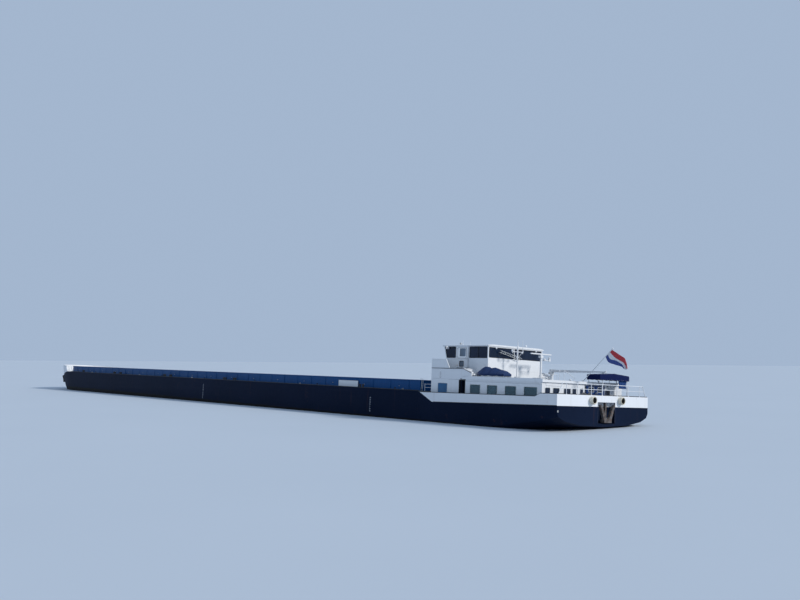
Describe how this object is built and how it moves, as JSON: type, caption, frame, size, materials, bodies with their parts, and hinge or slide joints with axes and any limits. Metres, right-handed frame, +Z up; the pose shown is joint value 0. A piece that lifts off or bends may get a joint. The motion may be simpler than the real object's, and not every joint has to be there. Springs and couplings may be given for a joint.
{
  "type": "river barge, scale model 1:10",
  "caption": "Long self-propelled river cargo barge, open hold with raised coamings, wheelhouse and deckhouse at the flat stern.",
  "frame": {"origin": "middle of the bounding box at the height of the flat bottom", "axes": "+X towards the bow, +Y to port, +Z up"},
  "size_m": [11.195, 1.145, 0.815],
  "materials": {
    "navy": "satin dark navy, weathered",
    "white": "satin white",
    "blue": "satin mid blue",
    "dark": "matt black",
    "steel": "worn steel",
    "rust": "rusty grey brown",
    "green": "satin grey green",
    "brass": "cast bronze",
    "door": "satin blue",
    "cloth": "dark blue tarpaulin",
    "flag": "red, white and blue cloth",
    "seat": "dark grey"
  },
  "bodies": {
    "barge": {"hull": "navy", "hull_stern": "navy", "aft_body": "white", "transom": "white", "aft_bulwark_port": "white", "aft_bulwark_starboard": "white", "bow_bulwark": "white", "hatch_coaming": "blue", "hold_floor": "rust", "gunwale_port": "dark", "gunwale_starboard": "dark", "deckhouse": "white", "car_deck": "white", "bridge_block": "white", "bridge_wing_port": "white", "bridge_wing_starboard": "white", "radar_post": "white", "crane_post": "white", "stern_rail": "white", "stern_anchor": "rust", "fairlead_port": "steel", "fairlead_starboard": "steel", "flagstaff": "white", "flag": "flag", "awning_frame": "white", "awning": "cloth", "stern_winch_frame": "dark", "windlass_frame": "green", "bow_anchor_port": "rust", "bow_anchor_starboard": "rust", "foremast_foot": "dark", "fore_bollards_port": "dark", "fore_bollards_starboard": "dark", "aft_bollards_port": "dark", "aft_bollards_starboard": "dark", "dinghy": "steel", "dinghy_cover": "cloth"},
    "wheelhouse": {"wheelhouse": "white", "wheelhouse_roof": "white", "helm_console": "seat", "helm_seat": "seat"},
    "wheelhouse_door_port": {"wheelhouse_door_port": "white"},
    "wheelhouse_door_starboard": {"wheelhouse_door_starboard": "white"},
    "side_door_port": {"side_door_port": "white"},
    "side_door_starboard": {"side_door_starboard": "white"},
    "aft_door_port": {"aft_door_port": "door"},
    "aft_door_starboard": {"aft_door_starboard": "door"},
    "radar_scanner": {"radar_scanner": "white"},
    "antenna_mast": {"antenna_mast": "white"},
    "crane_head": {"crane_head": "white"},
    "crane_boom": {"crane_boom": "white"},
    "stern_winch_drum": {"stern_winch_drum": "steel"},
    "windlass_drum_port": {"windlass_drum_port": "steel"},
    "windlass_drum_starboard": {"windlass_drum_starboard": "steel"},
    "foremast": {"foremast": "white"},
    "forepeak_lid": {"forepeak_lid": "dark"},
    "propeller_port": {"propeller_port": "brass"},
    "propeller_starboard": {"propeller_starboard": "brass"},
    "rudder_port": {"rudder_port": "navy"},
    "rudder_starboard": {"rudder_starboard": "navy"}
  },
  "joints": [
    {"name": "wheelhouse_lift", "type": "slide", "parent": "barge", "child": "wheelhouse", "axis": [0, 0, 1], "range_m": [0, 0.15]},
    {"name": "wheelhouse_door_port_hinge", "type": "hinge", "parent": "wheelhouse", "child": "wheelhouse_door_port", "pos_m": [-4.1515, 0.351, 0.6], "axis": [0, 0, -1], "range_deg": [0, 95]},
    {"name": "wheelhouse_door_starboard_hinge", "type": "hinge", "parent": "wheelhouse", "child": "wheelhouse_door_starboard", "pos_m": [-4.1515, -0.351, 0.6], "axis": [0, 0, 1], "range_deg": [0, 95]},
    {"name": "side_door_port_hinge", "type": "hinge", "parent": "barge", "child": "side_door_port", "pos_m": [-4.3475, 0.48, 0.4], "axis": [0, 0, -1], "range_deg": [0, 90]},
    {"name": "side_door_starboard_hinge", "type": "hinge", "parent": "barge", "child": "side_door_starboard", "pos_m": [-4.3475, -0.48, 0.4], "axis": [0, 0, 1], "range_deg": [0, 90]},
    {"name": "aft_door_port_hinge", "type": "hinge", "parent": "barge", "child": "aft_door_port", "pos_m": [-5.2165, -0.018, 0.4], "axis": [0, 0, -1], "range_deg": [0, 100]},
    {"name": "aft_door_starboard_hinge", "type": "hinge", "parent": "barge", "child": "aft_door_starboard", "pos_m": [-5.2165, -0.248, 0.4], "axis": [0, 0, 1], "range_deg": [0, 100]},
    {"name": "radar_spin", "type": "hinge", "parent": "barge", "child": "radar_scanner", "pos_m": [-4.6675, -0.127, 0.703], "axis": [0, 0, 1], "continuous": true},
    {"name": "antenna_mast_fold", "type": "hinge", "parent": "barge", "child": "antenna_mast", "pos_m": [-4.6125, 0.105, 0.5], "axis": [0, -1, 0], "range_deg": [0, 85]},
    {"name": "crane_slew", "type": "hinge", "parent": "barge", "child": "crane_head", "pos_m": [-4.5425, -0.43, 0.556], "axis": [0, 0, 1], "range_deg": [0, 120]},
    {"name": "crane_luff", "type": "hinge", "parent": "crane_head", "child": "crane_boom", "pos_m": [-4.5425, -0.43, 0.582], "axis": [0, 1, 0], "range_deg": [0, 65]},
    {"name": "stern_winch_spin", "type": "hinge", "parent": "barge", "child": "stern_winch_drum", "pos_m": [-5.3185, 0.115, 0.384], "axis": [0, 1, 0], "continuous": true},
    {"name": "windlass_port_spin", "type": "hinge", "parent": "barge", "child": "windlass_drum_port", "pos_m": [5.2775, 0.081, 0.385], "axis": [0, 1, 0], "continuous": true},
    {"name": "windlass_starboard_spin", "type": "hinge", "parent": "barge", "child": "windlass_drum_starboard", "pos_m": [5.2775, -0.081, 0.385], "axis": [0, 1, 0], "continuous": true},
    {"name": "foremast_fold", "type": "hinge", "parent": "barge", "child": "foremast", "pos_m": [4.9275, 0, 0.362], "axis": [0, -1, 0], "range_deg": [0, 85]},
    {"name": "forepeak_lid_hinge", "type": "hinge", "parent": "barge", "child": "forepeak_lid", "pos_m": [4.9865, -0.2, 0.356], "axis": [0, -1, 0], "range_deg": [0, 100]},
    {"name": "propeller_port_spin", "type": "hinge", "parent": "barge", "child": "propeller_port", "pos_m": [-5.1525, 0.23, 0.068], "axis": [1, 0, 0], "continuous": true},
    {"name": "propeller_starboard_spin", "type": "hinge", "parent": "barge", "child": "propeller_starboard", "pos_m": [-5.1525, -0.23, 0.068], "axis": [1, 0, 0], "continuous": true},
    {"name": "rudder_port_turn", "type": "hinge", "parent": "barge", "child": "rudder_port", "pos_m": [-5.2725, 0.23, 0.08], "axis": [0, 0, 1], "range_deg": [-60, 60]},
    {"name": "rudder_starboard_turn", "type": "hinge", "parent": "barge", "child": "rudder_starboard", "pos_m": [-5.2725, -0.23, 0.08], "axis": [0, 0, 1], "range_deg": [-60, 60]}
  ],
  "couplings": [
    {"joint": "rudder_starboard_turn", "follows": "rudder_port_turn", "ratio": 1}
  ]
}
